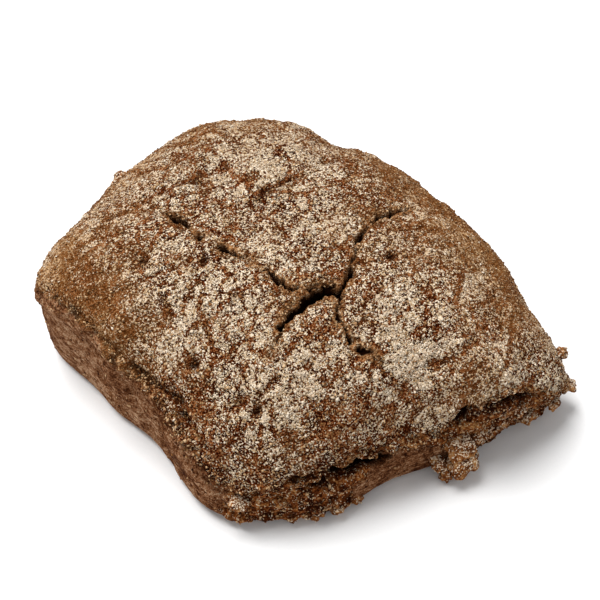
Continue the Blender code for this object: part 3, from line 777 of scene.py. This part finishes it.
# %% The material of the crust
def crust_material():
    """Baked rye dough under caked flour. Noises are added up into tones, tones give colours by ramps, and then the
    colours are laid over one another: flour, rubbed flour, torn crumb, wall skin, painted shade in tears and gaps,
    and underside. Next to the flecks the crust is darkened as a painted contact shadow."""
    material, add, place = new_material("floured_rye_crust")
    flour_here, bare_here, painted_shade_here, skin_here, under_here, bake_and_shade_here, rubbed_here = (
        add("Attribute", {}, "Fac", attribute_name=name)
        for name in ("flour", "bare", "painted_shade", "skin", "under", "bake_and_shade", "rubbed")
    )
    drawn_place = add("Mapping", {"Vector": place, "Scale": DRAWN_OUT})
    patch, meal, fleck, dust, vein, flake, drawn = (
        add("TexNoise", {"Vector": where, "Scale": per_mm(size), "Detail": detail, "Roughness": rough})
        for where, size, detail, rough in (
            (place, PATCH_MM, 3.0, 0.5), (place, MEAL_MM, 2.0, 0.5), (place, FLECK_MM, 1.0, 0.5),
            (place, DUST_MM, 0.0, 0.5), (place, VEIN_MM, 3.0, 0.5), (place, FLAKE_MM, 4.0, 0.9),
            (drawn_place, DRAWN_MM, 2.0, 0.5),
        )
    )
    vein = add("Math", {"Value": vein, "Value_001": 0.5}, operation="SUBTRACT")
    vein = add("Math", {"Value": vein}, operation="ABSOLUTE")
    vein = add("MapRange", {"Value": vein, "From Min": 0.0, "From Max": VEIN_WIDTH})

    # the browns rise with the fleck, meal and dust noises that also make the bump, so the crust is darker where the
    # bump is low: partly its own tone, partly painted shade in the crevices
    tone, flecks, powder_tone, crumb_tone, skin_tone = (
        weighted_sum(add, start, terms)
        for start, terms in (
            # the darkening value lowers the crust and wall skin: darker bake along the lip, painted shade on the
            # front wall
            (-1.75, ((patch, 0.7), (meal, 1.1), (fleck, 1.5), (dust, 0.9), (bake_and_shade_here, -0.15))),
            (-3.83, ((flake, 3.5), (fleck, 3.1), (flour_here, 1.2), (vein, 0.6))),
            (-1.0, ((meal, 1.0), (dust, 2.0))),
            (-1.54, ((patch, 1.2), (meal, 1.6), (fleck, 1.1))),
            (-1.62, ((patch, 1.0), (meal, 0.9), (fleck, 1.1), (dust, 0.4), (drawn, 0.9), (bake_and_shade_here, -0.1))),
        )
    )
    pores = add("TexVoronoi", {"Vector": place, "Scale": per_mm(PORE_MM)})
    pores = weighted_sum(add, pores, ((meal, 1.1),))
    film, dusted, shade, golden_tone, between_pores, share_bare = (
        add("MapRange", {"Value": value, "From Min": low, "From Max": high, "To Max": most})
        for value, low, high, most in (
            (flecks, 0.47, 0.58, 1.0), (flecks, 0.42, 0.6, 1.0), (flecks, 0.18, 0.44, 0.65),
            (flecks, -1.2, 1.5, 1.0), (pores, 0.58, 0.72, 1.0), (bare_here, 0.2, 0.7, 1.0),
        )
    )
    # raw ledges get more grain than rubbed flour does
    grain = add("Math", {"Value": tone, "Value_001": RAW_GRAIN}, operation="MULTIPLY")
    golden_tone = weighted_sum(add, golden_tone, ((bare_here, grain),))
    share_rubbed = add("Math", {"Value": rubbed_here, "Value_001": MOST_RUBBED}, operation="MULTIPLY")

    crust, powder, golden, crumb, skin, sole = (
        add("ValToRGB", {"Fac": value}, ramp=ramp)
        for value, ramp in (
            (tone, BROWNS), (powder_tone, FLOURS), (golden_tone, GOLDENS),
            (crumb_tone, CRUMBS), (skin_tone, SKINS), (tone, SOLES),
        )
    )
    # painted contact shadow: the crust is mixed towards CONTACT_SHADE as the flecks rise towards the flour's edge
    crumb, skin, base = (
        add("Mix", {"Factor_Float": share, "A_Color": below, "B_Color": above}, data_type="RGBA")
        for share, below, above in (
            (dusted, crumb, powder), (between_pores, PORE_SHADE, skin), (shade, crust, CONTACT_SHADE),
        )
    )
    # the last layers are the painted shade in tears and gaps (DEEP_SHADE) and the underside
    for share, layer in (
        (film, powder), (share_rubbed, golden), (share_bare, crumb),
        (skin_here, skin), (painted_shade_here, DEEP_SHADE), (under_here, sole),
    ):
        base = add("Mix", {"Factor_Float": share, "A_Color": base, "B_Color": layer}, data_type="RGBA")
    rise = weighted_sum(add, 0.0, ((fleck, 1.0), (meal, 1.0), (dust, 0.4), (film, 0.4)))
    return set_shader(material, base, 0.9, MATT, rise, 0.34)


floured_crust = crust_material()
print("crust material nodes", len(floured_crust.node_tree.nodes))

# %% [markdown]
# ## Put the grid into a mesh
# foreach_set hands whole arrays to Blender at once. Faces come as groups of rows, because a row of
# four corners and a row of three can't share an array.


# %% The crust as an object
def make_piece(name, points, face_groups, material, values=None, smooth=True):
    """An object at the origin, from points in outline millimetres, moved over the part's own origin."""
    mesh = bpy.data.meshes.new(name)
    corners = np.concatenate([group.ravel() for group in face_groups]).astype(np.int32)
    sizes = np.concatenate([np.full(len(group), group.shape[1]) for group in face_groups])
    mesh.vertices.add(len(points))
    mesh.vertices.foreach_set("co", ((points + TO_ORIGIN) * MM).astype(np.float32).ravel())
    mesh.loops.add(len(corners))
    mesh.loops.foreach_set("vertex_index", corners)
    mesh.polygons.add(len(sizes))
    mesh.polygons.foreach_set("loop_start", np.concatenate([[0], np.cumsum(sizes)[:-1]]).astype(np.int32))
    mesh.update(calc_edges=True)
    for label, value in (values or {}).items():
        mesh.attributes.new(label, "FLOAT", "POINT").data.foreach_set("value", value.astype(np.float32))
    mesh.materials.append(material)
    if smooth:
        mesh.shade_smooth()
    piece = bpy.data.objects.new(name, mesh)
    bpy.context.scene.collection.objects.link(piece)
    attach(piece, "root")
    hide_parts("rye_roll")
    print(name, "triangles", int((sizes - 2).sum()), "invalid", mesh.validate())


is_triangle = crust_faces[:, 2] == crust_faces[:, 3]
crust_values = dict(flour=flour, bare=bare, painted_shade=painted_shade, skin=skin, under=under, bake_and_shade=bake_and_shade, rubbed=rubbed)
crust_groups = [crust_faces[~is_triangle], crust_faces[is_triangle, :3]]
make_piece("rye_crust", crust_points, crust_groups, floured_crust, crust_values)

# %% [markdown]
# ## Crags
# Bits of crumb stick out along the foot of the torn side. Each is an uneven ball, half in the wall,
# in the same places and of the same sizes as on the solid. The knobs of the solid are kept and finer
# ones are added to them.

# %% Crag shapes
# A crag is (bearing, height, how far its middle is proud of the wall, half sizes across, along and up).
CRAGS = (
    (-67.4, 8, 0.6, 3, 3.2, 2.6), (-68.2, 4.7, 2.3, 3.1, 3.4, 2.8), (-72.2, 2.5, 3, 1.5, 1.2, 2),
    (-72.9, 5.2, 1, 2, 1.4, 1.1), (-94.4, 2.2, -0.3, 1.3, 1.3, 1.5), (-99.6, 2.3, -0.3, 1.5, 1.4, 1.8),
    (-105.4, 1.9, -0.5, 1.6, 2.1, 1.3), (-110.8, 2.1, -0.5, 1.2, 1, 1.1), (-123.4, 8.2, 0.2, 1.7, 1.9, 1.5),
    (-61.6, 8.6, -0.2, 1.8, 2.6, 1.3), (-56.4, 7.6, -0.3, 1.6, 2.2, 1.4), (-53.6, 11.2, -0.2, 1.6, 2.2, 1.5),
    (-50.2, 4.6, 0.1, 1.5, 1.7, 1.4), (-45.8, 5.8, 0.2, 1.5, 1.8, 1.4), (-41.4, 6.2, 0.9, 2, 1.8, 1.6),
    (-39.4, 14, 0.1, 1.3, 1, 1.8), (119.4, 20, 0.6, 1.7, 2.2, 1.9),
)
CRAG_ROUGHNESS = 0.4
CRAG_KNOBS = 0.8
CRAG_SEED = 21
CRAG_FLOOR = 0.15
CRAG_TURNS = 44
CRAG_RINGS = 26
CRAG_FINE = ((1.2, 0.42, 51), (0.6, 0.24, 52))


def ball_grid(turns, rings):
    """A unit ball: (cos lat cos turn, cos lat sin turn, sin lat) on a grid, closed by one point at each pole."""
    lat = np.radians(np.linspace(-90, 90, rings + 1)[1:-1])[:, None]
    band = in_space(np.cos(lat), np.sin(lat), np.arange(turns) * 360 / turns)
    points = np.concatenate([[[0.0, 0.0, -1.0]], band.reshape(-1, 3), [[0.0, 0.0, 1.0]]])
    rows = 1 + np.arange((rings - 1) * turns).reshape(rings - 1, turns)
    low, high = rows[:-1], rows[1:]
    quads = np.stack([low, np.roll(low, -1, 1), np.roll(high, -1, 1), high], axis=-1).reshape(-1, 4)
    south = np.stack([np.zeros(turns, int), np.roll(rows[0], -1), rows[0]], axis=-1)
    north = np.stack([rows[-1], np.roll(rows[-1], -1), np.full(turns, len(points) - 1)], axis=-1)
    return points, quads, np.concatenate([south, north])


def crag_points(ball, number, bearing, height, proud, across, along, up):
    """The ball, scaled by 1 + roughness * noise and stretched to its half sizes, set out from the wall and turned
    to the bearing, then roughened in space along its own radius."""
    shape = ball * (1 + CRAG_ROUGHNESS * gradient_noise(ball, CRAG_KNOBS, CRAG_SEED + number)[:, None])
    out = in_space(1.0, 0.0, bearing)
    side = np.array([-out[1], out[0], 0.0])
    distance = surface_radius(bearing, height) + proud
    points = out * (distance + across * shape[:, :1]) + side * along * shape[:, 1:2]
    points[:, 2] = height + up * shape[:, 2]
    fine = octaves(points, CRAG_FINE)
    points += (out * ball[:, :1] + side * ball[:, 1:2] + np.array([0, 0, 1.0]) * ball[:, 2:]) * fine[:, None]
    points[:, 2] = np.maximum(points[:, 2], CRAG_FLOOR)
    return points


ball, ball_quads, ball_caps = ball_grid(CRAG_TURNS, CRAG_RINGS)
crag_shapes = [crag_points(ball, number, *row) for number, row in enumerate(CRAGS)]
print("crags", len(crag_shapes), "points in each", len(ball))

# %% [markdown]
# ## Torn crumb
# A torn bit of rye crumb is moister than the crust, so it is a little less dull and more orange, and
# it carries a few flecks of flour on the sides that face up. Geometry's normal tells the material
# which way a point faces, so the flour lies on top without being painted there.


# %% The material of the crags, and the crags as one object
CRAG_BROWNS = ((0.30, "#301204"), (0.45, "#6C3A16"), (0.58, "#976437"), (0.75, "#C09662"))
CRAG_FLOUR = colour("#E2CDB2")


def crumb_material():
    """Torn rye crumb: orange browns by noise, flour flecks where the surface faces up."""
    material, add, place = new_material("torn_rye_crumb")
    meal = add("TexNoise", {"Vector": place, "Scale": per_mm(MEAL_MM), "Detail": 3.0})
    fleck = add("TexNoise", {"Vector": place, "Scale": per_mm(FLECK_MM), "Detail": 1.0})
    crumb = add("ValToRGB", {"Fac": meal}, ramp=CRAG_BROWNS)
    facing = add("SeparateXYZ", {"Vector": add("NewGeometry", {}, "Normal")}, "Z")
    film = weighted_sum(add, -1.95, ((fleck, 2.8), (facing, 0.5)))
    film = add("MapRange", {"Value": film, "From Min": 0.0, "From Max": 0.12})
    base = add("Mix", {"Factor_Float": film, "A_Color": crumb, "B_Color": CRAG_FLOUR}, data_type="RGBA")
    rise = add("Math", {"Value": fleck, "Value_001": meal}, operation="ADD")
    return set_shader(material, base, 0.7, 2 * MATT, rise, 0.3)


torn_crumb = crumb_material()
offsets = [number * len(ball) for number in range(len(crag_shapes))]
crag_groups = [np.concatenate([group + offset for offset in offsets]) for group in (ball_quads, ball_caps)]
all_crag_points = np.concatenate(crag_shapes)
make_piece("crumb_crags", all_crag_points, crag_groups, torn_crumb)

# %% [markdown]
# ## Loose grains
# What gives floured bread its sparkle is that the smallest things on it stand up: grains of meal,
# caked specks of flour and flakes of bran, each with a lit side and a shadow. They are drawn as real
# little solids of four or eight faces. Places are drawn from the faces of the crust with a chance of
# area times weight, and the weights come from the values on the points, so that flour gathers where
# the crust is floured and bits of crumb lie along the seam and the tears.


# %% Draw places on a surface
def surface_of(points, faces):
    """(points, normals, faces, areas), an area being half the length of the cross product of the diagonals."""
    a, b, c, d = (points[faces[:, at]] for at in range(4))
    return points, point_normals(points, faces), faces, np.linalg.norm(np.cross(c - a, d - b), axis=1) / 2


def face_mean(values):
    return values[crust_faces].mean(axis=1)


def draw_places(surface, count, weight, seed):
    """Random points on a surface and its normals there: a face by area * weight, then a bilinear place in it."""
    points, normals, faces, areas = surface
    draw = np.random.default_rng(seed)
    chance = areas * np.maximum(weight, 0)
    chosen = draw.choice(len(chance), size=count, p=chance / chance.sum())
    u, v = draw.random((2, count, 1))
    corner = faces[chosen]
    shares = ((1 - u) * (1 - v), u * (1 - v), u * v, (1 - u) * v)
    places = sum(share * points[corner[:, at]] for at, share in enumerate(shares))
    upright = sum(share * normals[corner[:, at]] for at, share in enumerate(shares))
    return places, upright / np.linalg.norm(upright, axis=1, keepdims=True), draw


crust_surface = surface_of(crust_points, crust_faces)
crag_surface = surface_of(all_crag_points, crag_groups[0])
print("crust area in cm2", (crust_surface[3].sum() / 100).round(1), "crags", (crag_surface[3].sum() / 100).round(1))

# %% Small solids and how they are set on the crust
STRETCHES = (0.6, 1.35)
JITTER = 0.16
TILT = 0.3
LEAST_HEIGHT = 0.02
SHARD = (
    np.array([[1, 0, -0.35], [-0.5, 0.87, -0.35], [-0.5, -0.87, -0.35], [0, 0, 0.9]], float),
    np.array([[0, 2, 1], [0, 1, 3], [1, 2, 3], [2, 0, 3]]),
)
OCTAHEDRON = (
    np.array([[1, 0, 0], [0, 1, 0], [-1, 0, 0], [0, -1, 0], [0, 0, 1], [0, 0, -1]], float),
    np.array([[0, 1, 4], [1, 2, 4], [2, 3, 4], [3, 0, 4], [1, 0, 5], [2, 1, 5], [3, 2, 5], [0, 3, 5]]),
)


def scatter_piece(name, solid, surface, count, weight, seed, sizes, flatness, sunk, material):
    """One mesh of many copies of a small solid, drawn by a weight on the surface's faces: each is jittered,
    stretched by its size, made flatter along the surface's normal, turned at random round it and tilted a little,
    and sunk by a share of its height."""
    places, normals, draw = draw_places(surface, count, weight, seed)
    shape, faces = solid
    size = draw.uniform(*sizes, (count, 1, 1)) / 2
    stretched = draw.uniform(*STRETCHES, (count, 1, 3)) * np.array([1.0, 1.0, flatness])
    local = (shape[None] + draw.normal(0, JITTER, (count, len(shape), 3))) * stretched * size
    up = normals + draw.normal(0, TILT, (count, 3))
    up /= np.linalg.norm(up, axis=1, keepdims=True)
    side = np.cross(up, draw.normal(size=(count, 3)))
    side /= np.linalg.norm(side, axis=1, keepdims=True)
    axes_of_each = np.stack([side, np.cross(up, side), up], axis=1)
    centre = places + normals * (size[:, 0] * flatness * (1 - 2 * sunk))
    points = (local @ axes_of_each + centre[:, None, :]).reshape(-1, 3)
    points[:, 2] = np.maximum(points[:, 2], LEAST_HEIGHT)
    all_faces = (faces[None] + (np.arange(count) * len(shape))[:, None, None]).reshape(-1, 3)
    tone = np.repeat(draw.random(count), len(shape))
    make_piece(name, points, [all_faces], material, {"tone": tone}, smooth=False)


# %% [markdown]
# ## Flour, bran and dark meal
# Caked rye flour is a dull greyish cream. Bran is the husk of the grain: thin, golden to brown, and
# a little shiny. Dark meal is what has roasted in the crust. Every grain gets a random tone, so that
# no two neighbours have quite the same colour.


# %% Materials of the grains
def grain_material(name, tones, roughness):
    """One matt colour for each grain, taken from the tones by its own random value."""
    material, add, _ = new_material(name)
    tone = add("Attribute", {}, "Fac", attribute_name="tone")
    return set_shader(material, add("ValToRGB", {"Fac": tone}, ramp=tones), roughness, 2 * MATT)


caked_flour = grain_material("caked_rye_flour", ((0.0, "#BFA488"), (0.5, "#D6C1A6"), (1.0, "#E8D9C4")), 0.95)
bran_husk = grain_material("rye_bran_husk", ((0.0, "#5A3214"), (0.5, "#86603A"), (1.0, "#BC9C74")), 0.6)
roasted_meal = grain_material("roasted_rye_meal", ((0.0, "#220C02"), (0.6, "#48230B"), (1.0, "#704220")), 0.8)
crumb_bit = grain_material("rye_crumb_bits", ((0.0, "#4A260F"), (0.5, "#8A5C34"), (1.0, "#D6B48A")), 0.7)

# %% Scatter them
face_flour, face_cut, face_hollow, face_torn, face_rubbed, face_zone = (
    face_mean(values) for values in (flour, cut, hollow, torn, rubbed, zone)
)
sunny = (face_zone < 0.02) & (face_cut < 0.4) & (face_hollow < 0.3)
flour_weight = np.where(sunny, face_flour**3, 0.01 * face_flour) * (1 - 0.6 * face_rubbed)
meal_weight = np.where(sunny, 1.0 - 0.7 * face_flour, 0.0) * (1 - 0.5 * face_rubbed) + 0.08 * face_torn
crumb_weight = 0.12 + 0.15 * face_mean(bare) + 0.8 * face_mean(seam * outer) + 0.6 * face_mean(raw)
crumb_weight = crumb_weight * (face_cut < 1.0) * (face_hollow < 0.2)
crumb_weight = crumb_weight * (face_zone < 1.5) * (1 - 0.8 * face_mean(skin))
crag_weight = np.maximum(crag_surface[1][crag_surface[2], 2].mean(axis=1), 0) + 0.05

for row in (
    ("flour_grains", SHARD, crust_surface, 9000, flour_weight, 61, (0.22, 0.42), 0.6, 0.2, caked_flour),
    ("flour_specks", OCTAHEDRON, crust_surface, 3000, flour_weight, 62, (0.4, 0.8), 0.3, 0.2, caked_flour),
    ("crag_flour", OCTAHEDRON, crag_surface, 900, crag_weight, 66, (0.28, 0.55), 0.6, 0.3, caked_flour),
    ("bran_flakes", OCTAHEDRON, crust_surface, 5000, meal_weight, 63, (0.28, 0.7), 0.3, 0.2, bran_husk),
    ("dark_meal", OCTAHEDRON, crust_surface, 6000, meal_weight, 64, (0.22, 0.44), 0.6, 0.3, roasted_meal),
    ("crumb_bits", OCTAHEDRON, crust_surface, 6000, crumb_weight, 65, (0.3, 0.8), 0.5, 0.3, crumb_bit),
):
    scatter_piece(*row)

# %% [markdown]
# ## Floor and light
# The roll was photographed on white under one big soft light, high and behind it to the left, so
# that its front wall is in shade. The floor here is nearly white, and a large area light does the
# same. The world fills the shade a little.

# %% Stage and light
FLOOR_HALF = 3.0
FIBRE_MM = 0.6
WORLD_STRENGTH = 0.48
floor_mesh = bpy.data.meshes.new("floor")
floor_mesh.from_pydata(
    [(x * FLOOR_HALF, y * FLOOR_HALF, 0.0) for x, y in ((-1, -1), (1, -1), (1, 1), (-1, 1))], [], [(0, 1, 2, 3)]
)
floor = bpy.data.objects.new("floor", floor_mesh)
bpy.context.scene.collection.objects.link(floor)
white_paper, add_to_paper, paper_place = new_material("white_paper")
fibre = add_to_paper("TexNoise", {"Vector": paper_place, "Scale": per_mm(FIBRE_MM)})
paper = add_to_paper("ValToRGB", {"Fac": fibre}, ramp=((0.0, "#EEEEEE"), (1.0, "#F2F2F2")))
set_shader(white_paper, paper, 0.95, 0.1)
floor_mesh.materials.append(white_paper)

world = bpy.data.worlds.new("white_room")
bpy.context.scene.world = world
world.use_nodes = True
background = world.node_tree.nodes["Background"].inputs
background["Color"].default_value = (1.0, 1.0, 1.0, 1.0)
background["Strength"].default_value = WORLD_STRENGTH


def soft_light(name, azimuth, elevation, distance, size, irradiance):
    """A square light that looks at the roll. Its power is pi^2 * distance^2 * irradiance, in which irradiance is in
    units of the light that makes a white floor white, straight under the light."""
    rise = np.radians(elevation)
    towards = Vector(in_space(np.cos(rise), np.sin(rise), azimuth))
    light = bpy.data.lights.new(name, "AREA")
    light.size = size
    light.energy = np.pi * distance**2 * irradiance * np.pi
    lamp = bpy.data.objects.new(name, light)
    lamp.location = towards * distance
    lamp.rotation_euler = towards.to_track_quat("Z", "Y").to_euler()
    bpy.context.scene.collection.objects.link(lamp)
    print(name, "energy", round(light.energy, 1), "W")


soft_light("key_light", azimuth=112, elevation=66, distance=1.6, size=0.9, irradiance=1.29)

# %% [markdown]
# ## The camera
# The view comes from fitting the roll's outline to the photograph: the direction it is seen from,
# then the distance, which shows in how much the far end shrinks. The camera is aimed a little off
# the middle of the roll so that the roll sits in the frame as it does in the picture, with no shift.

# %% Camera
VIEW_AZIMUTH = -24.0
VIEW_ELEVATION = 55.0
VIEW_DISTANCE = 240.0
VIEW_TARGET = np.array([0.0, -9.0, 14.0])
VIEW_ANGLE = 30.0
FRAME_PIXELS = 600
TARGET_PIXEL = (297.0, 322.0)

turn, rise = np.radians(VIEW_AZIMUTH), np.radians(VIEW_ELEVATION)
back = Vector((np.sin(turn) * np.cos(rise), -np.cos(turn) * np.cos(rise), np.sin(rise)))
right = Vector((0, 0, 1)).cross(back).normalized()
up = back.cross(right)
pixels = FRAME_PIXELS / 2 / np.tan(np.radians(VIEW_ANGLE / 2))
aside = (FRAME_PIXELS / 2 - TARGET_PIXEL[0]) / pixels
lower = (TARGET_PIXEL[1] - FRAME_PIXELS / 2) / pixels
aim = right * aside + up * lower - back
camera_data = bpy.data.cameras.new("camera")
camera_data.angle = np.radians(VIEW_ANGLE)
camera = bpy.data.objects.new("camera", camera_data)
bpy.context.scene.collection.objects.link(camera)
place = Vector(VIEW_TARGET + TO_ORIGIN) + back * VIEW_DISTANCE
ahead = aim.normalized()
level = (right - ahead * right.dot(ahead)).normalized()
axes = Matrix((level, (-ahead).cross(level), -ahead)).transposed()
camera.matrix_world = Matrix.Translation(place * MM) @ axes.to_4x4()
bpy.context.scene.camera = camera
bpy.context.scene.view_settings.view_transform = "Standard"
print("camera at", np.round(np.array(place), 1), "lens", round(camera_data.lens, 1))
